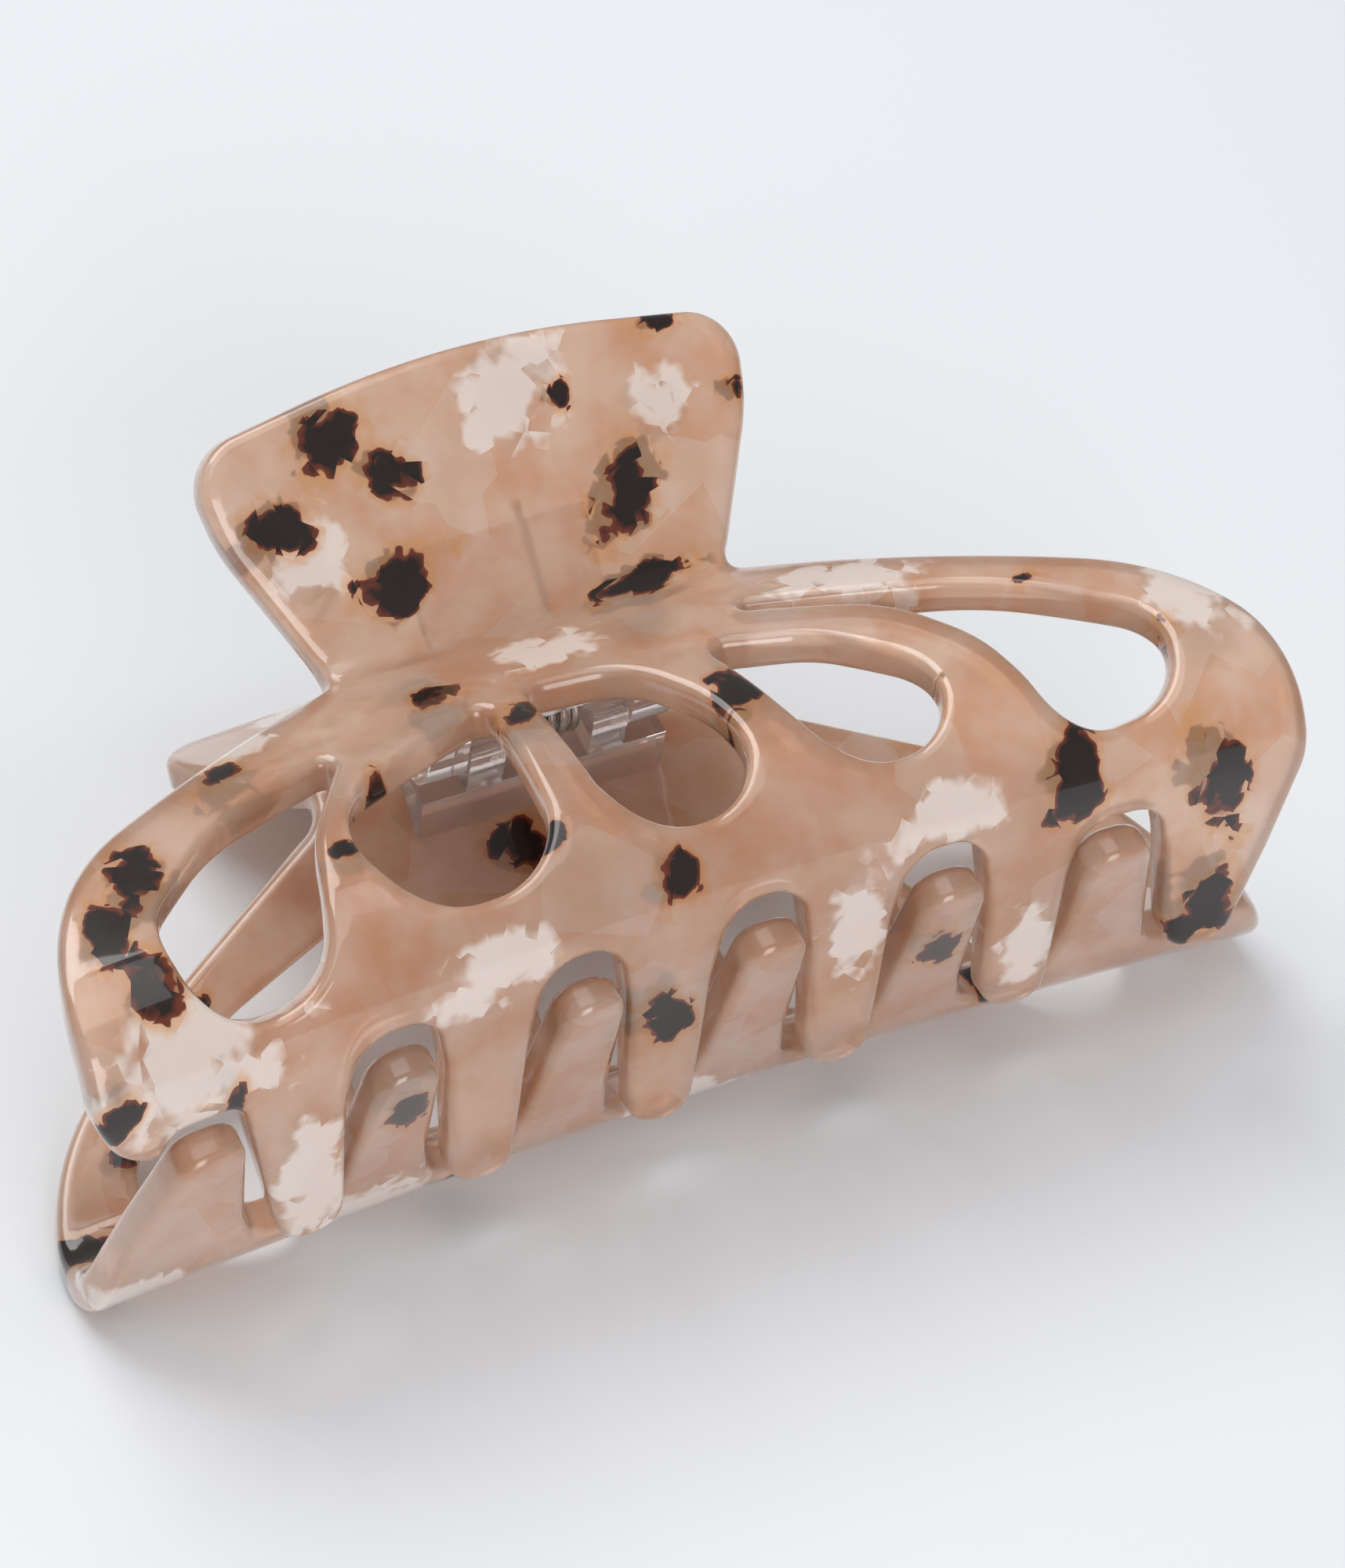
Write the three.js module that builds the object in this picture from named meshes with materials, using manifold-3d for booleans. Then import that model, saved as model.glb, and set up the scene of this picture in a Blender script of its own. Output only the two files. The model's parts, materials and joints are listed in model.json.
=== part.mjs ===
// A large acetate claw clip, closed and lying on its side.
//
// Two jaws are cut from flat sheet and bent along lines parallel to the hinge. Each one is drawn
// here as its flat pattern (u along the hinge, s up the sheet, s = 0 at the fold of the neck) and
// then bent by a profile. The second jaw is the first one turned half a turn about the clip's
// upright axis, so that its teeth sit in the slots of the first.
//
// Frames, in millimetres. Clip frame: x along the hinge, y from the front jaw to the rear jaw,
// z from the teeth to the finger tabs. Part frame: the same clip leaned back until it lies on
// the rear tab and the rear belly, +X along the hinge, +Z up, origin in the middle of its foot.

import * as THREE from "three";
import { mergeVertices } from "three/addons/utils/BufferGeometryUtils.js";
import Module from "manifold-3d";

const wasm = await Module();
wasm.setup();

// ---- driving dimensions ----

const SHEET = 3.2; // thickness of the acetate
const HALF_LENGTH = 53; // middle of the clip to either end of a jaw
const NECK_Y = 7.6; // closing plane to the middle of the sheet, at the fold
const DROOP = 0.06; // the ends of a jaw reach down further, as a share of their depth
const LEAN = 1.42; // how far the clip is leaned back to lie down

// The bends, going away from the fold. A positive angle bends the sheet away from the closing
// plane; radii are to the middle of the sheet. Beyond the last bend the sheet is flat.
const TAB_BENDS = [{ angle: 0.68, radius: 4.2 }];
const JAW_BENDS = [
  { angle: 0.6, radius: 4.2 }, // the shoulder below the fold
  { angle: -0.45, radius: 52 }, // upper belly
  { angle: -1.58, radius: 7.8 }, // lower belly, where the teeth turn in
];
const BEND_STEP = 0.25; // a bend is folded in steps no wider than this
const BEND_ERROR = 0.06; // nor straying further than this from the true arc

const TOOTH_COUNT = 6;
const TOOTH_PITCH = 15.8;
const FIRST_TOOTH = -2.25 * TOOTH_PITCH; // puts the teeth of one jaw in the slots of the other
const FIRST_TOOTH_SHIFT = 1.1; // the tip of the first tooth stands in a little
const LAST_TOOTH_SHIFT = 0.6; // and that of the last one out
const TOOTH_WAIST = 7.4; // width of a tooth below its root
const WAIST_S = -43.5;
const WAIST_ROUND = 14;
const TOOTH_END = 5.3; // width of a tooth near its tip
const TIP_S = -58.5; // ends of the middle teeth
const TIP_RISE = 3; // towards the ends the teeth are this much shorter
const TIP_ROUND = 2.55;
const SLOT_WIDTH = 6.1;
const SLOT_ROUND = 3;
const SLOT_S = -36.9; // tops of the slots between the middle teeth
const SLOT_DROP = 6.6; // towards the ends the slots start this much lower

const PIN_Z = -2.6; // hinge axis, below the fold
const PIN_RADIUS = 0.8;
const PIN_HALF = 10;
const BORE_RADIUS = 1.1;
const BORE_HALF = 10.3;
const KNUCKLE_RADIUS = 3;
const OUTER_KNUCKLE = [7.4, 11]; // from and to, along the hinge, on the front jaw
const INNER_KNUCKLE = [3.9, 7.1]; // on the rear jaw
const FOOT_HALF = 11; // half the length of the foot of a hinge block
const FOOT_FACE = 3.5; // closing plane to the near face of the foot
const FOOT_TOP_S = 0.7;
const FOOT_BOTTOM_S = -5.2;
const PLATE_HALF = 8; // half the width of the plate behind the tab
const PLATE = 1.2; // its thickness
const PLATE_TOP_S = 9; // how far up the tab it reaches
const GAP = 0.3; // between a piece and the one it is fixed to

const WIRE_RADIUS = 0.4;
const COIL_RADIUS = 1.9;
const COIL_TURNS = 5.5;
const COIL_HALF = 3; // half the length of the coil
const COIL_POINTS = 10; // points to a turn
const LEG_STRAIGHT_Z = 0.2; // a leg rises straight off the coil up to here
const LEG_FROM_S = 4; // and lies on the plate from here
const LEG_TO_S = 10.5; // to here

const ARC_ERROR = 0.09; // how far a drawn arc may stray from the true one
const ROUND_SEGMENTS = 24;

// ---- materials ----

const acetate = new THREE.MeshStandardMaterial({ color: 0xd8a182, roughness: 0.16, metalness: 0 });
const clear = new THREE.MeshStandardMaterial({ color: 0xe9d6cb, roughness: 0.14, metalness: 0 });
const steel = new THREE.MeshStandardMaterial({ color: 0xa9abae, roughness: 0.3, metalness: 1 });

// ---- flat pattern of a jaw; every corner is [u, s, radius] ----

// The finger tab is the same on both sides; the ends of the jaw are not.
const TAB_TOP = [0, 24.9, 85];
const TAB_SIDE = [
  [24.5, 20.9, 4.6],
  [23.3, 13.0, 16],
  [17.0, -0.8, 3.4],
];
const RIGHT_END = [
  [51.9, -21.6, 21],
  [51.9, -37.0, 14],
  [49.6, -46.5, 16],
];
const LEFT_END = [
  [-41.0, -39.6, 2],
  [-46.4, -39.7, 1.5],
  [-47.9, -42.1, 1.2],
  [-51.0, -40.9, 5],
  [-HALF_LENGTH, -36.5, 6],
  [-HALF_LENGTH, -19.6, 21.5],
];

// The five openings, from left to right. The strut between the second and the third carries the
// nested arches on either side of it.
const OPENINGS = [
  [
    [-22.2, -12.4, 0.8],
    [-35.5, -17.2, 20],
    [-43.9, -24.5, 6],
    [-42.9, -33.6, 6],
    [-32.8, -33.9, 6.5],
    [-28.8, -21.5, 14],
  ],
  [
    [-9.4, -11.9, 1.2],
    [-25.9, -19.0, 7],
    [-26.0, -31.0, 7],
    [-11.6, -31.0, 6.8],
  ],
  [
    [-6.1, -11.6, 1.2],
    [2.2, -12.6, 6.5],
    [6.4, -20.5, 14],
    [6.2, -30.4, 6],
    [-6.3, -30.4, 6],
  ],
  [
    [8.9, -12.9, 1.2],
    [17.4, -15.8, 9],
    [23.6, -22.4, 5.5],
    [23.0, -30.0, 5.8],
    [12.6, -30.2, 5.8],
  ],
  [
    [14.6, -8.2, 0.6],
    [32.5, -15.0, 25],
    [43.5, -24.0, 5],
    [41.8, -31.3, 6],
    [31.5, -32.6, 5],
    [29.3, -21.5, 14],
    [24.6, -14.0, 12],
    [14.6, -9.6, 0.6],
  ],
];

// The points of a closed outline: straight edges between corners, each corner an arc of its own
// radius, with no more points than the arc needs.
function roundedOutline(corners) {
  const points = [];
  const count = corners.length;
  corners.forEach(([u, s, radius], i) => {
    const corner = new THREE.Vector2(u, s);
    const before = new THREE.Vector2(...corners[(i + count - 1) % count]).sub(corner).normalize();
    const after = new THREE.Vector2(...corners[(i + 1) % count]).sub(corner).normalize();
    const half = Math.acos(before.dot(after)) / 2;
    const inward = before.clone().add(after).normalize();
    const centre = corner.clone().addScaledVector(inward, radius / Math.sin(half));
    const start = corner.clone().addScaledVector(before, radius / Math.tan(half));
    const sweep = (Math.PI - 2 * half) * Math.sign(after.cross(before));
    const step = 2 * Math.acos(1 - ARC_ERROR / radius);
    const pieces = Math.max(1, Math.ceil(Math.abs(sweep) / step));
    for (let k = 0; k <= pieces; k += 1) {
      points.push(start.clone().rotateAround(centre, (sweep * k) / pieces));
    }
  });
  return points;
}

function toothShift(i) {
  if (i === 0) {
    return FIRST_TOOTH_SHIFT;
  }
  return i === TOOTH_COUNT - 1 ? LAST_TOOTH_SHIFT : 0;
}

// The teeth and the slots between them, from the right end to the left.
function teethCorners() {
  const corners = [];
  for (let i = TOOTH_COUNT - 1; i >= 0; i -= 1) {
    const even = FIRST_TOOTH + i * TOOTH_PITCH;
    const centre = even + toothShift(i);
    const tip = TIP_S + TIP_RISE * (centre / HALF_LENGTH) ** 2;
    if (i < TOOTH_COUNT - 1) {
      corners.push([even + TOOTH_WAIST / 2, WAIST_S, WAIST_ROUND]);
    }
    corners.push([centre + TOOTH_END / 2, tip, TIP_ROUND]);
    corners.push([centre - TOOTH_END / 2, tip, TIP_ROUND]);
    if (i > 0) {
      const slot = even - TOOTH_PITCH / 2;
      const top = SLOT_S - SLOT_DROP * Math.abs(slot / HALF_LENGTH) ** 3;
      corners.push([even - TOOTH_WAIST / 2, WAIST_S, WAIST_ROUND]);
      corners.push([slot + SLOT_WIDTH / 2, top, SLOT_ROUND]);
      corners.push([slot - SLOT_WIDTH / 2, top, SLOT_ROUND]);
    }
  }
  return corners;
}

function jawPattern() {
  const otherSide = TAB_SIDE.map(([u, s, radius]) => [-u, s, radius]).reverse();
  const outline = [
    TAB_TOP,
    ...TAB_SIDE,
    ...RIGHT_END,
    ...teethCorners(),
    ...LEFT_END,
    ...otherSide,
  ];
  const pattern = new THREE.Shape(roundedOutline(outline.reverse()));
  pattern.holes = OPENINGS.map((corners) => new THREE.Path(roundedOutline(corners)));
  return pattern;
}

// ---- bending ----

// Where the middle of the sheet gets to at s: how far out from the neck, how far along the clip's
// upright axis, and the angle it has turned through.
function bentMiddle(s) {
  const bends = s > 0 ? TAB_BENDS : JAW_BENDS;
  let left = Math.abs(s);
  let turned = 0;
  let out = 0;
  let along = 0;
  for (const { angle, radius } of bends) {
    const run = Math.min(left, Math.abs(angle) * radius);
    const signed = Math.sign(angle) * radius;
    const next = turned + run / signed;
    out += signed * (Math.cos(turned) - Math.cos(next));
    along += signed * (Math.sin(next) - Math.sin(turned));
    turned = next;
    left -= run;
  }
  out += left * Math.sin(turned);
  along += left * Math.cos(turned);
  return { out, along, turned };
}

// A point of the flat pattern, w out from the middle of the sheet, on the bent front jaw.
function bent(u, s, w) {
  const { out, along, turned } = bentMiddle(s);
  const share = (u / HALF_LENGTH) ** 2;
  const y = -NECK_Y - out - w * Math.cos(turned);
  const z = along - w * Math.sin(turned);
  return s > 0 ? new THREE.Vector3(u, y, z) : new THREE.Vector3(u, y, -z * (1 + DROOP * share));
}

// The values of s at which the sheet is folded.
function foldLines() {
  const lines = [0];
  for (const [side, bends] of [[1, TAB_BENDS], [-1, JAW_BENDS]]) {
    let from = 0;
    for (const { angle, radius } of bends) {
      const step = Math.min(BEND_STEP, Math.sqrt((8 * BEND_ERROR) / radius));
      const steps = Math.ceil(Math.abs(angle) / step);
      const length = Math.abs(angle) * radius;
      for (let k = 1; k <= steps; k += 1) {
        lines.push(side * (from + (length * k) / steps));
      }
      from += length;
    }
  }
  return lines;
}

// Cuts a list of triangle corners along one line of constant s. A corner closer to the line than
// the tolerance counts as on it.
function cutAlong(corners, line) {
  const tolerance = 0.02;
  const side = (corner) => (Math.abs(corner.y - line) < tolerance ? 0 : Math.sign(corner.y - line));
  const pieces = [];
  for (let i = 0; i < corners.length; i += 3) {
    const above = [];
    const below = [];
    for (let k = 0; k < 3; k += 1) {
      const here = corners[i + k];
      const next = corners[i + ((k + 1) % 3)];
      if (side(here) >= 0) {
        above.push(here);
      }
      if (side(here) <= 0) {
        below.push(here);
      }
      if (side(here) * side(next) < 0) {
        const [low, high] = here.y < next.y ? [here, next] : [next, here];
        const cut = low.clone().lerp(high, (line - low.y) / (high.y - low.y));
        above.push(cut);
        below.push(cut);
      }
    }
    const uncut = corners.slice(i, i + 3).every((corner) => side(corner) === 0);
    for (const part of uncut ? [above] : [above, below]) {
      for (let k = 1; k + 1 < part.length; k += 1) {
        pieces.push(part[0], part[k], part[k + 1]);
      }
    }
  }
  return pieces;
}

function jawGeometry() {
  const sheet = new THREE.ExtrudeGeometry(jawPattern(), { depth: SHEET, bevelEnabled: false });
  sheet.translate(0, 0, -SHEET / 2);
  const flat = sheet.getAttribute("position");
  let corners = [];
  for (let i = 0; i < flat.count; i += 1) {
    corners.push(new THREE.Vector3().fromBufferAttribute(flat, i));
  }
  for (const line of foldLines()) {
    corners = cutAlong(corners, line);
  }
  const bentCorners = corners.map((corner) => bent(corner.x, corner.y, corner.z));
  const geometry = new THREE.BufferGeometry().setFromPoints(bentCorners);
  return mergeVertices(geometry, 1e-3);
}

// ---- solids ----

function toSolid(geometry) {
  geometry.deleteAttribute("normal");
  geometry.deleteAttribute("uv");
  const merged = mergeVertices(geometry, 1e-4);
  return new wasm.Manifold(
    new wasm.Mesh({
      numProp: 3,
      vertProperties: merged.attributes.position.array,
      triVerts: merged.index.array,
    }),
  );
}

function toGeometry(solid) {
  const mesh = solid.getMesh();
  const geometry = new THREE.BufferGeometry();
  geometry.setAttribute("position", new THREE.BufferAttribute(mesh.vertProperties, 3));
  geometry.setIndex(new THREE.BufferAttribute(mesh.triVerts, 1));
  return geometry;
}

// A section drawn in y and z, drawn out along the hinge from one x to another.
function alongHinge(section, from, to) {
  const geometry = new THREE.ExtrudeGeometry(section, {
    depth: to - from,
    bevelEnabled: false,
    curveSegments: ROUND_SEGMENTS / 2,
  });
  // The section's own x and y become y and z, and its depth becomes x.
  geometry.applyMatrix4(new THREE.Matrix4().set(0, 0, 1, from, 1, 0, 0, 0, 0, 1, 0, 0, 0, 0, 0, 1));
  return geometry;
}

function cylinderAlongHinge(radius, half) {
  const geometry = new THREE.CylinderGeometry(radius, radius, 2 * half, ROUND_SEGMENTS);
  geometry.rotateZ(Math.PI / 2);
  geometry.translate(0, 0, PIN_Z);
  return geometry;
}

// The face of a hinge block that lies against its jaw, as points in y and z.
function alongSheet(fromS, toS, w) {
  const stops = [fromS, ...foldLines().filter((s) => s > fromS && s < toS), toS];
  return stops
    .sort((a, b) => a - b)
    .map((s) => bent(0, s, w))
    .map((point) => new THREE.Vector2(point.y, point.z));
}

// A hinge block of the front jaw: a foot glued across the neck, a plate up the back of the tab and
// two knuckles that reach to the hinge axis.
function hingeBlock(knuckle) {
  const back = -SHEET / 2 - GAP;
  const outer = alongSheet(FOOT_BOTTOM_S, FOOT_TOP_S, back);
  const bottom = outer[0].y;
  const foot = new THREE.Shape([
    new THREE.Vector2(-FOOT_FACE, bottom),
    new THREE.Vector2(-FOOT_FACE, outer.at(-1).y),
    ...outer.reverse(),
  ]);
  const plate = new THREE.Shape([
    ...alongSheet(0, PLATE_TOP_S, back),
    ...alongSheet(0, PLATE_TOP_S, back - PLATE).reverse(),
  ]);
  const arm = new THREE.Shape();
  arm.moveTo(-FOOT_FACE - PLATE, PIN_Z - KNUCKLE_RADIUS);
  arm.absarc(0, PIN_Z, KNUCKLE_RADIUS, -Math.PI / 2, Math.PI / 2, false);
  arm.lineTo(-FOOT_FACE - PLATE, PIN_Z + KNUCKLE_RADIUS);
  arm.closePath();
  const [near, far] = knuckle;
  const block = toSolid(alongHinge(foot, -FOOT_HALF, FOOT_HALF))
    .add(toSolid(alongHinge(plate, -PLATE_HALF, PLATE_HALF)))
    .add(toSolid(alongHinge(arm, near, far)))
    .add(toSolid(alongHinge(arm, -far, -near)));
  return toGeometry(block.subtract(toSolid(cylinderAlongHinge(BORE_RADIUS, BORE_HALF))));
}

// A torsion spring on the pin: a coil with one leg up the plate of either jaw.
function springGeometry() {
  const coil = [];
  const count = COIL_TURNS * COIL_POINTS;
  for (let i = 0; i <= count; i += 1) {
    const angle = (-2 * Math.PI * COIL_TURNS * i) / count;
    const x = -COIL_HALF + (2 * COIL_HALF * i) / count;
    const y = COIL_RADIUS * Math.cos(angle);
    const z = PIN_Z + COIL_RADIUS * Math.sin(angle);
    coil.push(new THREE.Vector3(x, y, z));
  }
  const onPlate = -SHEET / 2 - 2 * GAP - PLATE - WIRE_RADIUS;
  const leg = [new THREE.Vector3(COIL_HALF, -COIL_RADIUS, LEG_STRAIGHT_Z)];
  for (const s of [LEG_FROM_S, LEG_TO_S]) {
    leg.push(bent(0, s, onPlate).setX(COIL_HALF));
  }
  const otherLeg = leg.map((point) => new THREE.Vector3(-point.x, -point.y, point.z)).reverse();
  const path = new THREE.CatmullRomCurve3([...otherLeg, ...coil, ...leg]);
  const section = new THREE.Shape().absarc(0, 0, WIRE_RADIUS, 0, 2 * Math.PI, false);
  return new THREE.ExtrudeGeometry(section, {
    steps: 2 * count,
    extrudePath: path,
    curveSegments: 3,
  });
}

// ---- the clip ----

function piece(name, geometry, material) {
  const mesh = new THREE.Mesh(geometry, material);
  mesh.name = name;
  return mesh;
}

const jaw = jawGeometry();
const clip = new THREE.Group();
const rearJaw = piece("rear_jaw", jaw, acetate);
const rearBlock = piece("rear_hinge_block", hingeBlock(INNER_KNUCKLE), clear);
rearJaw.rotation.z = Math.PI;
rearBlock.rotation.z = Math.PI;
clip.add(
  piece("front_jaw", jaw, acetate),
  rearJaw,
  piece("front_hinge_block", hingeBlock(OUTER_KNUCKLE), clear),
  rearBlock,
  piece("hinge_pin", cylinderAlongHinge(PIN_RADIUS, PIN_HALF), steel),
  piece("torsion_spring", springGeometry(), steel),
);

clip.rotation.x = -LEAN;
const clawClip = new THREE.Group();
clawClip.add(clip);
const box = new THREE.Box3().setFromObject(clawClip, true);
const middle = box.getCenter(new THREE.Vector3());
clip.position.set(-middle.x, -middle.y, -box.min.z);

export default clawClip;
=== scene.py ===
"""The claw clip as it looks: two jaws of polished tortoise acetate, clear hinge blocks, a steel pin
and spring, on a pale floor in soft studio light.

Everything ends up in metres, in the frame of the CAD model. The drawing is in millimetres. A jaw
is drawn as its flat pattern: u along the hinge, s up the sheet with s = 0 at the fold of the neck,
and w out from the middle of the sheet. It is then bent along lines parallel to the hinge. In the
clip's own frame x is along the hinge, y from the front jaw to the rear one and z up to the tabs.
"""

import json
import math

import bpy
import numpy as np
from mathutils import Matrix, Vector
from mathutils.geometry import delaunay_2d_cdt


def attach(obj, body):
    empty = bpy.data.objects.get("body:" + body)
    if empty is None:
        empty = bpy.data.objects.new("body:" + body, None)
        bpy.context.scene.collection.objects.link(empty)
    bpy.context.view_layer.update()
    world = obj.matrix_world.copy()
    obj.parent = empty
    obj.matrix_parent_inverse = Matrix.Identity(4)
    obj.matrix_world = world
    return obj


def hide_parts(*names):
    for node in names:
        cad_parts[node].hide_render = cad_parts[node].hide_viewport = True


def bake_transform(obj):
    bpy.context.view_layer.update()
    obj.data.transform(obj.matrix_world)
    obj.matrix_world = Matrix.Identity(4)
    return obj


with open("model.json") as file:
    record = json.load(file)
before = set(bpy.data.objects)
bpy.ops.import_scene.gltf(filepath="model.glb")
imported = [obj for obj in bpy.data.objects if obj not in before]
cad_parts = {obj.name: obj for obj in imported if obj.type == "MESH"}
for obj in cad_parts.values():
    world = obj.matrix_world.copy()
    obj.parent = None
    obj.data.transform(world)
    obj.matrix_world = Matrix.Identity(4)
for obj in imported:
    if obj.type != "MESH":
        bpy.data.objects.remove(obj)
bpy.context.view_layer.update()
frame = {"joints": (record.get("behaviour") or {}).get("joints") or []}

MM = 0.001

# ---- sizes, in millimetres and radians ----

SHEET = 3.2
HALF_LENGTH = 53.0
NECK_Y = 7.6
DROOP = 0.06
LEAN = 1.42
TAB_BENDS = [(0.68, 4.2)]
JAW_BENDS = [(0.6, 4.2), (-0.45, 52.0), (-1.58, 7.8)]

EDGE = 0.9  # radius of the polished edges of the sheet
EDGE_STEPS = 4
ARC_STEP = 0.45  # spacing of the points along an outline
POINT_STEP = 1.0  # spacing of the points across a face
ROW_STEP = 0.75
FOLD_ROW_STEP = 0.35
FOLD_REACH = 3.6
CLEAR_OF_EDGE = 0.5

TOOTH_COUNT = 6
TOOTH_PITCH = 15.8
FIRST_TOOTH = -2.25 * TOOTH_PITCH
FIRST_TOOTH_SHIFT = 1.1
LAST_TOOTH_SHIFT = 0.6
TOOTH_WAIST = 7.4
WAIST_S = -43.5
WAIST_ROUND = 14
TOOTH_END = 5.3
TIP_S = -58.5
TIP_RISE = 3.0
TIP_ROUND = 2.55
SLOT_WIDTH = 6.1
SLOT_ROUND = 3.0
SLOT_S = -36.9
SLOT_DROP = 6.6

PIN_Z = -2.6
PIN_RADIUS = 0.8
PIN_HALF = 10.0
BORE_RADIUS = 1.1
BORE_HALF = 10.3
KNUCKLE_RADIUS = 3.0
OUTER_KNUCKLE = (7.4, 11.0)
INNER_KNUCKLE = (3.9, 7.1)
FOOT_HALF = 11.0
FOOT_FACE = 3.5
FOOT_TOP_S = 0.7
FOOT_BOTTOM_S = -5.2
PLATE_HALF = 8.0
PLATE = 1.2
PLATE_TOP_S = 9.0
GAP = 0.3

WIRE_RADIUS = 0.4
COIL_RADIUS = 1.9
COIL_TURNS = 5.5
COIL_HALF = 3.0
COIL_POINTS = 40
LEG_STRAIGHT_Z = 0.2
LEG_FROM_S = 4.0
LEG_TO_S = 10.5

KNUCKLE_STEPS = 24
BLOCK_EDGE = 0.2
BLOCK_EDGE_ANGLE = math.radians(40)
PIN_END_RING = 0.2  # a ring of points this far from each end keeps it looking flat
PIN_SIDES = 32
WIRE_SIDES = 12
KNEE_STEPS = 12
LEG_STEPS = 8
FACE_TOP_S = 25.0  # just past the top of the tab
FAR_FROM_FLAKES = -3.0

# ---- flat pattern; every corner is (u, s, radius) ----

TAB_TOP = (0, 24.9, 85)
TAB_SIDE = [(24.5, 20.9, 4.6), (23.3, 13.0, 16), (17.0, -0.8, 3.4)]
RIGHT_END = [(51.9, -21.6, 21), (51.9, -37.0, 14), (49.6, -46.5, 16)]
LEFT_END = [
    (-41.0, -39.6, 2.0),
    (-46.4, -39.7, 1.5),
    (-47.9, -42.1, 1.2),
    (-51.0, -40.9, 5),
    (-HALF_LENGTH, -36.5, 6),
    (-HALF_LENGTH, -19.6, 21.5),
]
OPENINGS = [
    [
        (-22.2, -12.4, 0.8),
        (-35.5, -17.2, 20),
        (-43.9, -24.5, 6),
        (-42.9, -33.6, 6),
        (-32.8, -33.9, 6.5),
        (-28.8, -21.5, 14),
    ],
    [(-9.4, -11.9, 1.2), (-25.9, -19.0, 7), (-26.0, -31.0, 7), (-11.6, -31.0, 6.8)],
    [
        (-6.1, -11.6, 1.2),
        (2.2, -12.6, 6.5),
        (6.4, -20.5, 14),
        (6.2, -30.4, 6),
        (-6.3, -30.4, 6),
    ],
    [
        (8.9, -12.9, 1.2),
        (17.4, -15.8, 9),
        (23.6, -22.4, 5.5),
        (23.0, -30.0, 5.8),
        (12.6, -30.2, 5.8),
    ],
    [
        (14.6, -8.2, 0.6),
        (32.5, -15.0, 25),
        (43.5, -24.0, 5),
        (41.8, -31.3, 6),
        (31.5, -32.6, 5),
        (29.3, -21.5, 14),
        (24.6, -14.0, 12),
        (14.6, -9.6, 0.6),
    ],
]

# Flakes in the acetate, and one painted highlight: (u, s, half length, half width, turn).
FRONT_DARK = [
    (-12.5, 19.5, 2.8, 2.2, 0.6),
    (-8.0, 15.5, 2.4, 1.8, -0.7),
    (-18.5, 13.5, 2.6, 2.0, 0.4),
    (-10.0, 7.0, 3.2, 2.2, 0.3),
    (7.5, 18.0, 1.2, 1.0, 0.8),
    (17.0, 21.5, 1.8, 0.8, 0.2),
    (22.5, 14.5, 0.8, 1.2, 0.0),
    (11.0, 8.5, 4.6, 2.4, 0.9),
    (10.5, 1.0, 4.4, 1.8, 0.2),
    (-12.5, -9.5, 2.6, 1.7, 0.5),
    (-27.0, -24.0, 1.2, 0.9, 0.0),
    (-21.5, -17.5, 1.7, 0.9, 1.2),
    (-8.0, -15.0, 2.2, 1.4, 0.2),
    (8.0, -20.5, 2.8, 1.6, 1.0),
    (-31.5, -11.0, 3.0, 1.6, 0.5),
    (-43.0, -19.5, 2.8, 1.9, 0.9),
    (-47.0, -24.0, 2.5, 1.8, 1.2),
    (-45.5, -29.0, 2.4, 1.9, 0.2),
    (-51.0, -36.5, 2.0, 1.2, 0.7),
    (-41.5, -39.0, 1.0, 2.2, 0.0),
    (-3.0, -33.5, 2.3, 1.7, 0.8),
    (-4.5, -46.0, 1.9, 3.0, 0.2),
    (-12.0, -28.5, 1.1, 0.8, 0.3),
    (31.5, -34.5, 3.2, 2.2, 0.9),
    (44.0, -38.5, 2.2, 4.6, 0.3),
    (45.0, -51.0, 2.2, 3.6, 0.1),
    (42.5, -54.0, 1.1, 1.6, 0.0),
    (41.0, -26.5, 2.5, 1.4, 0.5),
    (36.0, -16.5, 1.4, 0.8, 0.4),
]
REAR_DARK = [
    (-35.5, -7.0, 2.2, 2.6, 0.4),
    (50.0, -30.0, 3.5, 2.0, 0.3),
    (43.0, -22.0, 1.8, 1.2, 0.2),
    (20.0, -35.0, 3.0, 1.8, 0.7),
    (-14.0, -36.0, 2.4, 2.6, 0.2),
    (2.0, -8.0, 3.0, 2.0, 0.4),
    (-28.0, -38.0, 1.8, 2.8, 0.1),
    (12.0, 12.0, 3.0, 2.0, 0.8),
    (-9.0, 18.0, 2.6, 1.8, 0.2),
    (-5.0, 6.0, 2.0, 1.5, 1.0),
    (35.0, -12.0, 2.8, 1.6, 0.5),
    (8.0, -50.0, 1.6, 3.0, 0.0),
    (-20.0, -50.0, 1.8, 2.4, 0.3),
    (27.0, -52.0, 1.6, 2.6, 0.2),
]
# Pearly clouds of the front jaw. The big one on its left lobe is a painted highlight, white painted
# where a lamp is reflected, over some real pearl.
FRONT_PEARL_AND_HIGHLIGHT = [
    (3.5, 19.0, 4.5, 3.2, 0.5),
    (16.0, 15.0, 2.2, 2.8, 0.2),
    (-17.0, 11.0, 3.0, 3.6, 0.4),
    # painted highlight on the left lobe, partly real pearl
    (-44.5, -34.5, 7.0, 5.0, 0.3),
    (-30.0, -8.5, 4.0, 2.0, 0.5),
    (20.0, -34.5, 4.0, 2.2, 0.2),
    (-20.0, -36.0, 5.0, 2.4, 0.2),
    (24.0, -9.5, 5.0, 2.0, -0.4),
    (-2.0, -7.0, 4.0, 2.5, 0.1),
    (12.0, -42.0, 2.5, 5.0, 0.1),
    (-35.0, -50.0, 2.4, 5.0, 0.0),
    (28.0, -50.0, 2.4, 4.0, 0.0),
    (47.0, -24.0, 3.0, 4.0, 0.3),
]
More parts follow.
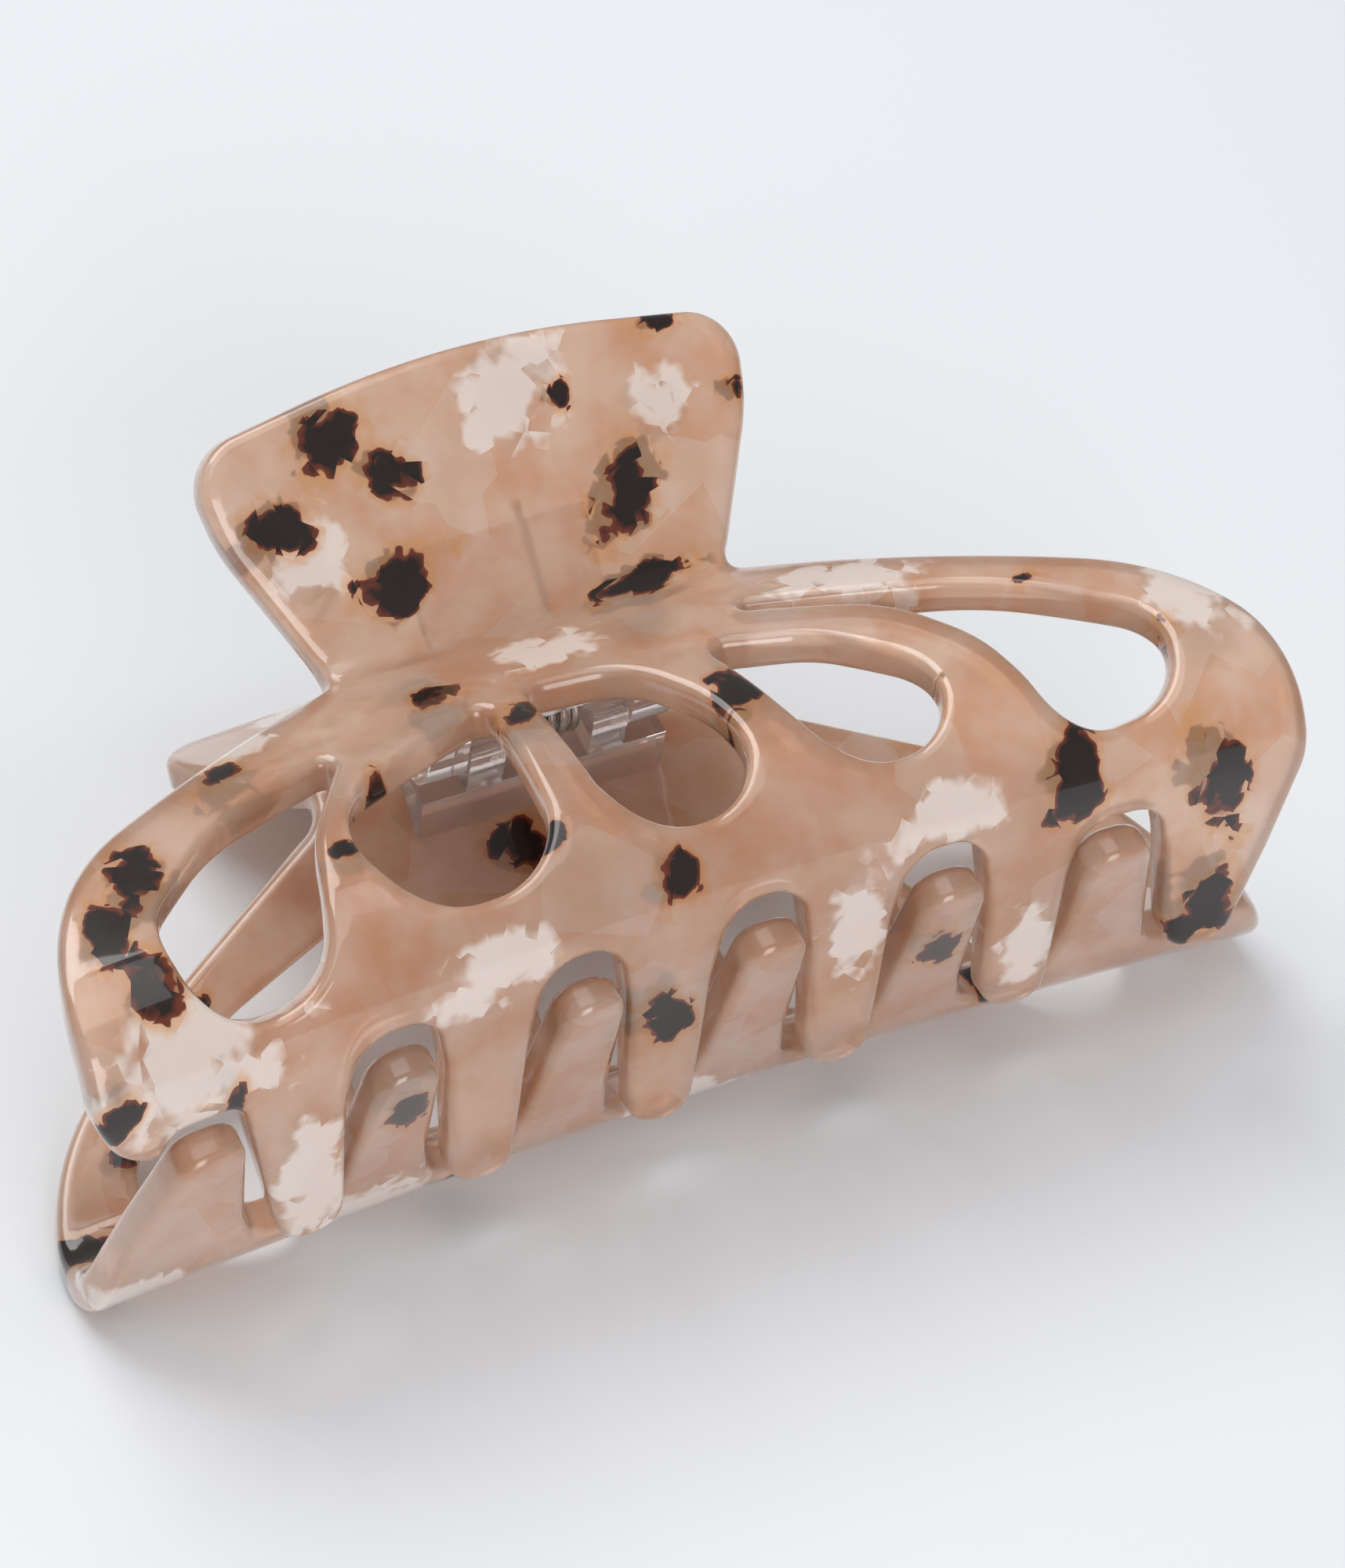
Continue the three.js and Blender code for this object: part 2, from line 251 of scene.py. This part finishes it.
REAR_PEARL = [
    (-45.0, -30.0, 5.0, 5.0, 0.3),
    (30.0, -36.0, 6.0, 3.0, 0.2),
    (0.0, -36.0, 5.0, 3.0, 0.0),
    (10.0, 20.0, 5.0, 3.0, 0.4),
    (-15.0, 10.0, 4.0, 3.0, 0.2),
    (48.0, -36.0, 4.0, 3.0, 0.1),
]


def subdivided(a, b, step):
    """The points from a to b, b left out, no further apart than step."""
    pieces = max(1, math.ceil((b - a).length / step))
    return [a.lerp(b, k / pieces) for k in range(pieces)]


def rounded_outline(corners):
    """A closed outline, run anticlockwise, with each corner an arc of its own radius."""
    arcs = []
    count = len(corners)
    for i, (u, s, radius) in enumerate(corners):
        corner = Vector((u, s))
        before = (Vector(corners[i - 1][:2]) - corner).normalized()
        after = (Vector(corners[(i + 1) % count][:2]) - corner).normalized()
        half = math.acos(max(-1, min(1, before.dot(after)))) / 2
        centre = corner + (before + after).normalized() * radius / math.sin(half)
        start = corner + before * radius / math.tan(half) - centre
        turn = before.x * after.y - before.y * after.x
        sweep = math.copysign(math.pi - 2 * half, -turn)
        pieces = max(2, math.ceil(abs(sweep) * radius / ARC_STEP))
        arc = []
        for k in range(pieces + 1):
            arc.append(centre + Matrix.Rotation(sweep * k / pieces, 2) @ start)
        arcs.append(arc)
    points = []
    for i, arc in enumerate(arcs):
        points += arc[:-1]
        following = arcs[(i + 1) % count][0]
        if (following - arc[-1]).length > 0.01:
            points += subdivided(arc[-1], following, 2 * ARC_STEP)
    outline = np.array([tuple(p) for p in points])
    ahead = np.roll(outline, -1, axis=0)
    area = np.sum(outline[:, 0] * ahead[:, 1] - outline[:, 1] * ahead[:, 0])
    return outline if area > 0 else outline[::-1]


def teeth_corners():
    """The corners of the teeth and of the slots between them, from right to left."""
    corners = []
    for i in reversed(range(TOOTH_COUNT)):
        even = FIRST_TOOTH + i * TOOTH_PITCH
        centre = even + {0: FIRST_TOOTH_SHIFT, TOOTH_COUNT - 1: LAST_TOOTH_SHIFT}.get(i, 0)
        tip = TIP_S + TIP_RISE * (centre / HALF_LENGTH) ** 2
        if i < TOOTH_COUNT - 1:
            corners.append((even + TOOTH_WAIST / 2, WAIST_S, WAIST_ROUND))
        corners.append((centre + TOOTH_END / 2, tip, TIP_ROUND))
        corners.append((centre - TOOTH_END / 2, tip, TIP_ROUND))
        if i > 0:
            slot = even - TOOTH_PITCH / 2
            top = SLOT_S - SLOT_DROP * abs(slot / HALF_LENGTH) ** 3
            corners.append((even - TOOTH_WAIST / 2, WAIST_S, WAIST_ROUND))
            corners.append((slot + SLOT_WIDTH / 2, top, SLOT_ROUND))
            corners.append((slot - SLOT_WIDTH / 2, top, SLOT_ROUND))
    return corners


def jaw_loops():
    """The outline of a jaw, anticlockwise, and its openings, clockwise."""
    mirrored = [(-u, s, radius) for u, s, radius in reversed(TAB_SIDE)]
    outline = [TAB_TOP, *TAB_SIDE, *RIGHT_END, *teeth_corners(), *LEFT_END, *mirrored]
    return [rounded_outline(outline)] + [rounded_outline(hole)[::-1] for hole in OPENINGS]


# ---- bending ----


def bent_middle(s):
    """How far out and along the middle of the sheet gets to at s, and the angle it has turned."""
    left, turned, out, along = abs(s), 0.0, 0.0, 0.0
    for angle, radius in TAB_BENDS if s > 0 else JAW_BENDS:
        run = min(left, abs(angle) * radius)
        signed = math.copysign(radius, angle)
        following = turned + run / signed
        out += signed * (math.cos(turned) - math.cos(following))
        along += signed * (math.sin(following) - math.sin(turned))
        turned = following
        left -= run
    return out + left * math.sin(turned), along + left * math.cos(turned), turned


def bent(u, s, w):
    """A point of the flat pattern on the bent front jaw, in the clip's own frame."""
    out, along, turned = bent_middle(s)
    y = -NECK_Y - out - w * math.cos(turned)
    z = along - w * math.sin(turned)
    return Vector((u, y, z if s > 0 else -z * (1 + DROOP * (u / HALF_LENGTH) ** 2)))


# The clip's own frame has its origin midway between the folds of the two necks. The clip is turned
# back about the pin's axis until it lies on its rear jaw.
HINGE = Vector(frame["joints"][0]["pos_m"])
LAID = Matrix.Rotation(-LEAN, 4, "X")
FROM_PIN = Matrix.Translation((0, 0, -PIN_Z))
TO_ROW = Matrix.Translation(HINGE) @ LAID @ Matrix.Scale(MM, 4) @ FROM_PIN
HALF_TURN = Matrix.Rotation(math.pi, 4, "Z")


# ---- meshes ----


def new_object(name, mesh):
    obj = bpy.data.objects.new(name, mesh)
    bpy.context.scene.collection.objects.link(obj)
    return obj


def smooth(mesh):
    mesh.polygons.foreach_set("use_smooth", [True] * len(mesh.polygons))
    mesh.update()


def inset(loop, distance):
    """A loop moved into the material, which lies on its left."""
    tangent = np.roll(loop, -1, axis=0) - np.roll(loop, 1, axis=0)
    tangent /= np.linalg.norm(tangent, axis=1, keepdims=True)
    return loop + distance * np.stack([-tangent[:, 1], tangent[:, 0]], axis=1)


def inside(points, loops):
    """Which points lie in the material, by counting the edges above each one."""
    crossings = np.zeros(len(points), int)
    for loop in loops:
        following = np.roll(loop, -1, axis=0)
        for (u0, s0), (u1, s1) in zip(loop, following):
            if u0 != u1:
                between = (points[:, 0] < u0) != (points[:, 0] < u1)
                height = s0 + (points[:, 0] - u0) * (s1 - s0) / (u1 - u0)
                crossings += between & (points[:, 1] < height)
    return crossings % 2 == 1


def face_rows():
    """The values of s of the rows of points across a face, closer together at the fold."""
    rows = [0.0]
    for direction, end in ((1, FACE_TOP_S), (-1, TIP_S)):
        s = 0.0
        while abs(s) < abs(end):
            s += direction * (FOLD_ROW_STEP if abs(s) < FOLD_REACH else ROW_STEP)
            rows.append(s)
    return rows


def face_points(loops):
    """Evenly spread points of a face, clear of its edges."""
    grid = []
    for number, s in enumerate(sorted(face_rows())):
        shift = POINT_STEP / 2 * (number % 2)
        for u in np.arange(-HALF_LENGTH + shift, HALF_LENGTH, POINT_STEP):
            grid.append((u, s))
    grid = np.array(grid)
    grid = grid[inside(grid, loops)]
    edge = np.vstack(loops)
    near = np.zeros(len(grid), bool)
    for point in edge:
        near |= np.sum((grid - point) ** 2, axis=1) < CLEAR_OF_EDGE**2
    return grid[~near]


def face_triangles(loops):
    """Points and triangles of a flat face. The points start with those of the loops, in order."""
    edge = np.vstack(loops)
    points = np.vstack([edge, face_points(loops)])
    borders = []
    first = 0
    for loop in loops:
        count = len(loop)
        borders += [(first + k, first + (k + 1) % count) for k in range(count)]
        first += count
    flat = [Vector(p) for p in points]
    _, _, faces, came_from, _, _ = delaunay_2d_cdt(flat, borders, [], 0, 1e-6, True)
    triangles = np.array([[came_from[k][0] for k in face] for face in faces])
    middles = points[triangles].mean(axis=1)
    return points, triangles[inside(middles, loops)]


def edge_profile():
    """(inset, w) down the rounded edge of the sheet, from the outer face to the inner one."""
    half = SHEET / 2
    quarter = []
    for k in range(EDGE_STEPS + 1):
        angle = math.pi / 2 * k / EDGE_STEPS
        quarter.append((EDGE * (1 - math.sin(angle)), half - EDGE + EDGE * math.cos(angle)))
    return quarter + [(depth, -w) for depth, w in reversed(quarter)]


def flakes(points, spots):
    """How far inside the nearest flake each point is: 1 at its middle, 0 at its rim, then less."""
    nearest = np.full(len(points), FAR_FROM_FLAKES)
    for u, s, length, width, turn in spots:
        du, ds = points[:, 0] - u, points[:, 1] - s
        along = (du * math.cos(turn) + ds * math.sin(turn)) / length
        across = (ds * math.cos(turn) - du * math.sin(turn)) / width
        nearest = np.maximum(nearest, 1 - np.sqrt(along**2 + across**2))
    return nearest


def jaw(name, place, dark, pearl_and_highlight):
    """One bent jaw with polished edges, set in place by a matrix of the clip's own frame."""
    outlines = jaw_loops()
    profile = edge_profile()
    points, triangles = face_triangles([inset(loop, profile[0][0]) for loop in outlines])
    count = len(points)
    half = SHEET / 2
    flat = [np.column_stack([points, np.full(count, half)])]
    flat.append(np.column_stack([points, np.full(count, -half)]))
    faces = [tuple(t) for t in triangles] + [tuple(t[::-1] + count) for t in triangles]
    total = 2 * count
    first = 0
    for loop in outlines:
        size = len(loop)
        rings = [first]
        for depth, w in profile[1:-1]:
            flat.append(np.column_stack([inset(loop, depth), np.full(size, w)]))
            rings.append(total)
            total += size
        rings.append(count + first)
        for upper, lower in zip(rings, rings[1:]):
            for k in range(size):
                after = (k + 1) % size
                faces.append((upper + k, lower + k, lower + after, upper + after))
        first += size
    flat = np.vstack(flat)
    put = TO_ROW @ place
    mesh = bpy.data.meshes.new(name)
    mesh.from_pydata([put @ bent(*p) for p in flat.tolist()], [], faces)
    # The pearl mask also carries the painted highlight on the front jaw's left lobe.
    for label, values in (("dark", flakes(flat, dark)), ("pearl_and_highlight", flakes(flat, pearl_and_highlight))):
        mesh.attributes.new(label, "FLOAT", "POINT").data.foreach_set("value", values)
    mesh.attributes.new("flat", "FLOAT_VECTOR", "POINT").data.foreach_set("vector", flat.ravel())
    smooth(mesh)
    return new_object(name, mesh)


def section_along_hinge(section, start, end):
    """A closed solid: a section of points in y and z, drawn along the hinge."""
    count = len(section)
    verts = [(start, y, z) for y, z in section] + [(end, y, z) for y, z in section]
    faces = [tuple(range(count)), tuple(reversed(range(count, 2 * count)))]
    for k in range(count):
        after = (k + 1) % count
        faces.append((k, count + k, count + after, after))
    mesh = bpy.data.meshes.new("section")
    mesh.from_pydata(verts, [], faces)
    area = sum(a[0] * b[1] - a[1] * b[0] for a, b in zip(section, section[1:] + section[:1]))
    if area > 0:
        mesh.flip_normals()
    return new_object("section", mesh)


def along_sheet(start, end, w, steps=12):
    """Points in y and z up the sheet, at w from its middle."""
    found = [bent(0, start + (end - start) * k / steps, w) for k in range(steps + 1)]
    return [(p.y, p.z) for p in found]


def circle(radius, steps=48):
    """A circle in y and z round the axis of the pin."""
    angles = [2 * math.pi * k / steps for k in range(steps)]
    return [(radius * math.cos(a), PIN_Z + radius * math.sin(a)) for a in angles]


def applied(obj):
    """The object's mesh with its modifiers applied, as a new mesh."""
    evaluated = obj.evaluated_get(bpy.context.evaluated_depsgraph_get())
    return bpy.data.meshes.new_from_object(evaluated)


def hinge_block(name, place, knuckle):
    """A foot across the neck, a plate up the back of the tab, and two knuckles on the pin."""
    back = -SHEET / 2 - GAP
    outer = along_sheet(FOOT_BOTTOM_S, FOOT_TOP_S, back)
    foot = [(-FOOT_FACE, outer[0][1]), (-FOOT_FACE, outer[-1][1]), *reversed(outer)]
    plate = along_sheet(0, PLATE_TOP_S, back) + along_sheet(PLATE_TOP_S, 0, back - PLATE)
    arm = [(-FOOT_FACE - PLATE, PIN_Z - KNUCKLE_RADIUS)]
    for k in range(KNUCKLE_STEPS + 1):
        angle = math.pi * (k / KNUCKLE_STEPS - 0.5)
        y = KNUCKLE_RADIUS * math.cos(angle)
        arm.append((y, PIN_Z + KNUCKLE_RADIUS * math.sin(angle)))
    arm.append((-FOOT_FACE - PLATE, PIN_Z + KNUCKLE_RADIUS))
    near, far = knuckle
    block = section_along_hinge(foot, -FOOT_HALF, FOOT_HALF)
    others = [
        (section_along_hinge(plate, -PLATE_HALF, PLATE_HALF), "UNION"),
        (section_along_hinge(arm, near, far), "UNION"),
        (section_along_hinge(arm, -far, -near), "UNION"),
        (section_along_hinge(circle(BORE_RADIUS), -BORE_HALF, BORE_HALF), "DIFFERENCE"),
    ]
    for other, operation in others:
        cut = block.modifiers.new(operation, "BOOLEAN")
        cut.operation = operation
        cut.solver = "EXACT"
        cut.object = other
    bevel = block.modifiers.new("edges", "BEVEL")
    bevel.width = BLOCK_EDGE
    bevel.segments = 2
    bevel.limit_method = "ANGLE"
    bevel.angle_limit = BLOCK_EDGE_ANGLE
    mesh = applied(block)
    mesh.name = name
    mesh.transform(TO_ROW @ place)
    for obj in [block, *(other for other, _ in others)]:
        bpy.data.objects.remove(obj)
    return new_object(name, mesh)


def tube(name, points, radius, sides):
    """A round tube along points, with closed ends."""
    verts, faces = [], []
    normal = Vector((1, 0, 0))
    for i, point in enumerate(points):
        tangent = (points[min(i + 1, len(points) - 1)] - points[max(i - 1, 0)]).normalized()
        normal = (normal - tangent * normal.dot(tangent)).normalized()
        side = tangent.cross(normal)
        for k in range(sides):
            angle = 2 * math.pi * k / sides
            verts.append(point + (normal * math.cos(angle) + side * math.sin(angle)) * radius)
    for i in range(len(points) - 1):
        for k in range(sides):
            after = (k + 1) % sides
            low, high = i * sides, (i + 1) * sides
            faces.append((low + k, low + after, high + after, high + k))
    last = (len(points) - 1) * sides
    faces.append(tuple(reversed(range(sides))))
    faces.append(tuple(range(last, last + sides)))
    mesh = bpy.data.meshes.new(name)
    mesh.from_pydata([TO_ROW @ v for v in verts], [], faces)
    smooth(mesh)
    return new_object(name, mesh)


def spring_points():
    """The spring's wire: a leg up the rear plate, the coil, and a leg up the front plate."""
    coil = []
    count = int(COIL_TURNS * COIL_POINTS)
    for i in range(count + 1):
        angle = -2 * math.pi * COIL_TURNS * i / count
        y, z = COIL_RADIUS * math.cos(angle), PIN_Z + COIL_RADIUS * math.sin(angle)
        coil.append(Vector((-COIL_HALF + 2 * COIL_HALF * i / count, y, z)))
    on_plate = -SHEET / 2 - 2 * GAP - PLATE - WIRE_RADIUS
    low, high = bent(COIL_HALF, LEG_FROM_S, on_plate), bent(COIL_HALF, LEG_TO_S, on_plate)
    off = Vector((COIL_HALF, -COIL_RADIUS, PIN_Z))
    knee = Vector((COIL_HALF, -COIL_RADIUS, LEG_STRAIGHT_Z))
    leg = []
    for k in range(1, KNEE_STEPS + 1):
        t = k / KNEE_STEPS
        leaving = off * (1 - t) ** 3 + knee * 3 * t * (1 - t) ** 2
        leg.append(leaving + (knee * 3 * (1 - t) + low * t) * t**2)
    leg += [low.lerp(high, k / LEG_STEPS) for k in range(1, LEG_STEPS + 1)]
    other = [HALF_TURN @ p for p in reversed(leg)]
    return other + coil + leg


# ---- materials ----


class Nodes:
    """A short way to write a material's nodes."""

    def __init__(self, name):
        self.material = bpy.data.materials.new(name)
        self.material.use_nodes = True
        self.tree = self.material.node_tree
        self.shader = self.tree.nodes["Principled BSDF"]
        self.output = self.tree.nodes["Material Output"]

    def node(self, kind, inputs=None, **settings):
        made = self.tree.nodes.new(kind)
        for key, value in settings.items():
            setattr(made, key, value)
        for key, value in (inputs or {}).items():
            self.set(made.inputs[key], value)
        return made

    def set(self, socket, value):
        if isinstance(value, bpy.types.NodeSocket):
            self.tree.links.new(value, socket)
        else:
            socket.default_value = value

    def attribute(self, name, output="Fac"):
        return self.node("ShaderNodeAttribute", attribute_name=name).outputs[output]

    def noise(self, vector, scale, detail=3.0, roughness=0.5):
        inputs = {"Vector": vector, "Scale": scale, "Detail": detail, "Roughness": roughness}
        return self.node("ShaderNodeTexNoise", inputs).outputs["Fac"]

    def cells(self, vector, scale):
        """A random value for each cell of a cracked pattern."""
        inputs = {"Vector": vector, "Scale": scale, "Randomness": 1.0}
        colour = self.node("ShaderNodeTexVoronoi", inputs, feature="F1").outputs["Color"]
        return self.node("ShaderNodeSeparateColor", {"Color": colour}).outputs["Red"]

    def maths(self, operation, a, b=0.0, c=0.0):
        inputs = {0: a, 1: b, 2: c}
        return self.node("ShaderNodeMath", inputs, operation=operation).outputs[0]

    def ramp(self, value, low, high, to_low=0.0, to_high=1.0):
        inputs = {
            "Value": value,
            "From Min": low,
            "From Max": high,
            "To Min": to_low,
            "To Max": to_high,
        }
        made = self.node("ShaderNodeMapRange", inputs, interpolation_type="SMOOTHSTEP")
        return made.outputs["Result"]

    def mix(self, factor, a, b):
        made = self.node("ShaderNodeMix", data_type="RGBA")
        self.set(made.inputs[0], factor)
        self.set(made.inputs[6], a)
        self.set(made.inputs[7], b)
        return made.outputs[2]

    def finish(self, **values):
        for key, value in values.items():
            self.set(self.shader.inputs[key.replace("_", " ")], value)
        return self.material


BLUSH = (0.76, 0.42, 0.25, 1)
PALE_BLUSH = (0.86, 0.6, 0.45, 1)
PALE_CHIP = (0.88, 0.72, 0.62, 1)
# The pearly white, also used for the painted highlight on the front jaw's left lobe.
PEARL_AND_HIGHLIGHT = (0.88, 0.8, 0.75, 1)
AMBER = (0.78, 0.36, 0.1, 1)
RED_BROWN = (0.16, 0.03, 0.012, 1)
NEAR_BLACK = (0.014, 0.006, 0.004, 1)
ACETATE_IOR = 1.49


def acetate_material():
    """Blush acetate with pearly clouds, a painted highlight on the front jaw's left lobe, and
    jagged dark flakes that have amber rims.
    """
    m = Nodes("tortoise_acetate")
    flat = m.attribute("flat", "Vector")
    drift = m.maths("SUBTRACT", m.noise(flat, 0.3, 2.0, 0.5), 0.5)
    cloudy = m.noise(flat, 0.16, 3.0, 0.55)
    shards = m.cells(flat, 0.55)
    plates = m.cells(flat, 0.14)
    jagged = m.maths("SUBTRACT", shards, 0.5)
    edges = m.maths("MULTIPLY_ADD", jagged, 0.55, m.maths("MULTIPLY", drift, 2.2))

    dark_field = m.maths("ADD", m.attribute("dark"), edges)
    # Pearl mask: real pearly clouds, plus the painted highlight on the front jaw's left lobe.
    pearl_and_highlight_field = m.maths("ADD", m.attribute("pearl_and_highlight"), edges)
    dark = m.ramp(dark_field, 0.0, 0.05)
    core = m.ramp(dark_field, 0.04, 0.3)
    halo = m.ramp(dark_field, -0.6, 0.0)
    pearl_and_highlight = m.ramp(pearl_and_highlight_field, -0.25, 0.2)

    blush = m.mix(m.ramp(cloudy, 0.34, 0.66), BLUSH, PALE_BLUSH)
    blush = m.mix(m.ramp(plates, 0.6, 0.8, 0.0, 0.35), blush, PALE_CHIP)
    blush = m.mix(m.maths("MULTIPLY", pearl_and_highlight, 0.85), blush, PEARL_AND_HIGHLIGHT)
    warm = m.mix(m.maths("MULTIPLY", halo, 0.6), blush, AMBER)
    brown = m.mix(core, RED_BROWN, NEAR_BLACK)
    colour = m.mix(dark, warm, brown)

    milk = m.maths("MULTIPLY_ADD", pearl_and_highlight, -0.35, 0.6)
    clearness = m.maths("MULTIPLY", m.maths("SUBTRACT", 1.0, dark), milk)
    wave = m.node(
        "ShaderNodeBump",
        {"Height": m.noise(flat, 0.08, 1.0, 0.4), "Strength": 0.08, "Distance": 0.002},
    ).outputs["Normal"]
    blur = m.ramp(m.noise(flat, 0.3, 3.0, 0.6), 0.3, 0.7, 0.16, 0.26)
    return m.finish(
        Base_Color=colour,
        Roughness=blur,
        IOR=ACETATE_IOR,
        Specular_IOR_Level=0.25,
        Transmission_Weight=clearness,
        Subsurface_Weight=0.3,
        Subsurface_Radius=(1.0, 0.45, 0.3),
        Subsurface_Scale=0.002,
        Coat_Weight=1.0,
        Coat_Roughness=0.04,
        Coat_IOR=ACETATE_IOR,
        Normal=wave,
        Coat_Normal=wave,
    )


def clear_material():
    """The nearly clear acetate of the hinge blocks."""
    m = Nodes("clear_acetate")
    where = m.node("ShaderNodeTexCoord").outputs["Object"]
    tint = m.mix(m.noise(where, 220.0), (0.95, 0.84, 0.8, 1), (0.97, 0.91, 0.88, 1))
    gloss = m.ramp(m.noise(where, 500.0), 0.3, 0.7, 0.06, 0.14)
    wave = m.node(
        "ShaderNodeBump",
        {"Height": m.noise(where, 180.0), "Strength": 0.15, "Distance": 0.0005},
    ).outputs["Normal"]
    return m.finish(
        Base_Color=tint, Roughness=gloss, IOR=ACETATE_IOR, Transmission_Weight=0.85, Normal=wave
    )


def steel_material():
    """Bright spring steel with faint drawing marks."""
    m = Nodes("spring_steel")
    where = m.node("ShaderNodeTexCoord").outputs["Object"]
    streaks = m.noise(where, 900.0, 2.0)
    colour = m.mix(m.ramp(streaks, 0.3, 0.7), (0.42, 0.41, 0.4, 1), (0.62, 0.61, 0.6, 1))
    gloss = m.ramp(streaks, 0.2, 0.8, 0.22, 0.36)
    wave = m.node(
        "ShaderNodeBump", {"Height": streaks, "Strength": 0.1, "Distance": 0.0001}
    ).outputs["Normal"]
    return m.finish(Base_Color=colour, Metallic=1.0, Roughness=gloss, Normal=wave)


def floor_material():
    """A plain, matt, pale sheet."""
    m = Nodes("pale_floor")
    where = m.node("ShaderNodeTexCoord").outputs["Object"]
    colour = m.mix(m.noise(where, 6.0, 2.0), (0.815, 0.838, 0.87, 1), (0.83, 0.85, 0.88, 1))
    return m.finish(Base_Color=colour, Roughness=0.85)


# ---- the clip ----

acetate = acetate_material()
clear = clear_material()
steel = steel_material()

front_sheet = jaw("front_jaw_sheet", Matrix(), FRONT_DARK, FRONT_PEARL_AND_HIGHLIGHT)
rear_sheet = jaw("rear_jaw_sheet", HALF_TURN, REAR_DARK, REAR_PEARL)
front_block = hinge_block("front_block", Matrix(), OUTER_KNUCKLE)
rear_block = hinge_block("rear_block", HALF_TURN, INNER_KNUCKLE)
pin_end = PIN_HALF - PIN_END_RING
pin_points = [Vector((x, 0, PIN_Z)) for x in (-PIN_HALF, -pin_end, pin_end, PIN_HALF)]
pin = tube("pin", pin_points, PIN_RADIUS, PIN_SIDES)

pieces = [
    (front_sheet, "front", "front_jaw", acetate, "acetate"),
    (rear_sheet, "rear", "rear_jaw", acetate, "acetate"),
    (front_block, "front", "front_hinge_block", clear, "clear_acetate"),
    (rear_block, "rear", "rear_hinge_block", clear, "clear_acetate"),
    (pin, "rear", "hinge_pin", steel, "steel"),
]
for obj, body, node, material, slot in pieces:
    obj.data.materials.append(material)
    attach(obj, body)
    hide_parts(node)

spring = tube("spring", spring_points(), WIRE_RADIUS, WIRE_SIDES)
spring.data.materials.append(steel)
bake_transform(spring)
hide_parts("torsion_spring")

# ---- floor, light and camera ----

FLOOR = 4.0
bpy.ops.mesh.primitive_plane_add(size=FLOOR)
floor = bpy.context.object
floor.name = "floor"
floor.data.materials.append(floor_material())

SKY_COLOUR = (0.95, 0.97, 1.0, 1)
SKY_STRENGTH = 0.32
world = bpy.data.worlds.new("studio")
world.use_nodes = True
background = world.node_tree.nodes["Background"]
background.inputs["Color"].default_value = SKY_COLOUR
background.inputs["Strength"].default_value = SKY_STRENGTH
bpy.context.scene.world = world


def soft_light(name, place, aim, size, watts, colour):
    """A softbox, in metres."""
    lamp = bpy.data.lights.new(name, "AREA")
    lamp.shape = "RECTANGLE"
    lamp.size, lamp.size_y = size
    lamp.energy = watts
    lamp.color = colour
    obj = new_object(name, lamp)
    obj.location = place
    obj.rotation_mode = "QUATERNION"
    obj.rotation_quaternion = (Vector(aim) - Vector(place)).to_track_quat("-Z", "Y")
    return obj


CLIP_MIDDLE = (0.0, 0.0, 0.02)
soft_light("back", (-0.15, 0.4, 0.6), CLIP_MIDDLE, (0.6, 0.4), 2.9, (1.0, 0.99, 0.97))
soft_light("top", (-0.05, 0.0, 0.65), CLIP_MIDDLE, (0.5, 0.5), 1.0, (0.98, 0.99, 1.0))
soft_light("front", (-0.05, -0.6, 0.28), CLIP_MIDDLE, (0.34, 0.5), 2.0, (1.0, 1.0, 1.0))

# The camera's turn from +Y, its angle below level and its roll are in radians. Its distances, in
# metres, are from the point midway between the folds.
CAMERA_TURN = 0.519
CAMERA_DOWN = 0.762
CAMERA_ROLL = -0.077
CAMERA_DISTANCE = 0.5107
CAMERA_RIGHT = 0.01236
CAMERA_UP = -0.00764
LENS = 144.0
LENS_SENSOR = 36.0

turn, down = CAMERA_TURN, CAMERA_DOWN
forward = Vector(
    (math.sin(turn) * math.cos(down), math.cos(turn) * math.cos(down), -math.sin(down))
)
level = Vector((math.cos(turn), -math.sin(turn), 0))
above = level.cross(forward)
right = level * math.cos(CAMERA_ROLL) - above * math.sin(CAMERA_ROLL)
up = level * math.sin(CAMERA_ROLL) + above * math.cos(CAMERA_ROLL)
fold_middle = TO_ROW @ Vector((0, 0, 0))
lens = bpy.data.cameras.new("camera")
lens.lens = LENS
lens.sensor_width = LENS_SENSOR
lens.clip_start = 0.01
lens.clip_end = 10.0
camera = new_object("camera", lens)
camera.location = fold_middle + right * CAMERA_RIGHT + up * CAMERA_UP - forward * CAMERA_DISTANCE
camera.rotation_mode = "QUATERNION"
camera.rotation_quaternion = Matrix((right, up, -forward)).transposed().to_quaternion()
bpy.context.scene.camera = camera
bpy.context.scene.view_settings.view_transform = "Standard"
